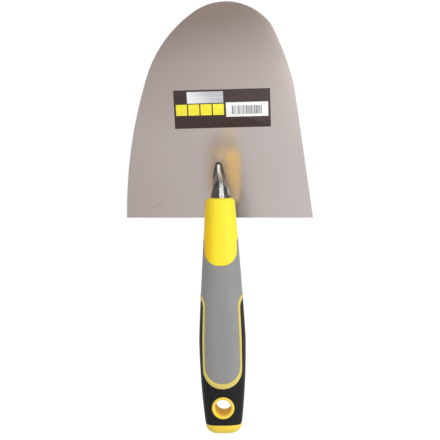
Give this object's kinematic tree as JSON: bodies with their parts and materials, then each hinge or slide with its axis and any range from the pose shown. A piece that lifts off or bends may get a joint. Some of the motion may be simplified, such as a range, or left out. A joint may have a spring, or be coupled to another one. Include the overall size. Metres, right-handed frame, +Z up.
{
  "type": "mason's trowel",
  "caption": "Round-nosed mason's trowel: flat steel blade, welded cranked tang, and a soft-grip handle with a hanging hole, for spreading and smoothing mortar.",
  "frame": {"origin": "on the blade's working face, below the middle of the tang's foot", "axes": "+Y from the handle to the blade's nose, +X to the right seen from above with the nose up, +Z up, away from the working face"},
  "size_m": [0.1428, 0.2968, 0.1139],
  "materials": {
    "blade_steel": "satin ground steel sheet",
    "label_film": "printed adhesive film: dark ground, silver panel, yellow squares, white panel",
    "weld_metal": "dull weld bead",
    "forged_steel": "forged steel with a bright ground front flat",
    "yellow_plastic": "smooth moulded polypropylene",
    "grey_rubber": "soft moulded grip, matt",
    "black_rubber": "soft moulded grip, matt"
  },
  "bodies": {
    "root": {"blade": "blade_steel", "label": "label_film", "weld_bead": "weld_metal", "tang": "forged_steel", "handle_core": "yellow_plastic", "grey_grip": "grey_rubber", "black_grip": "black_rubber", "hang_eyelet": "yellow_plastic", "butt_cap": "yellow_plastic"}
  },
  "joints": []
}
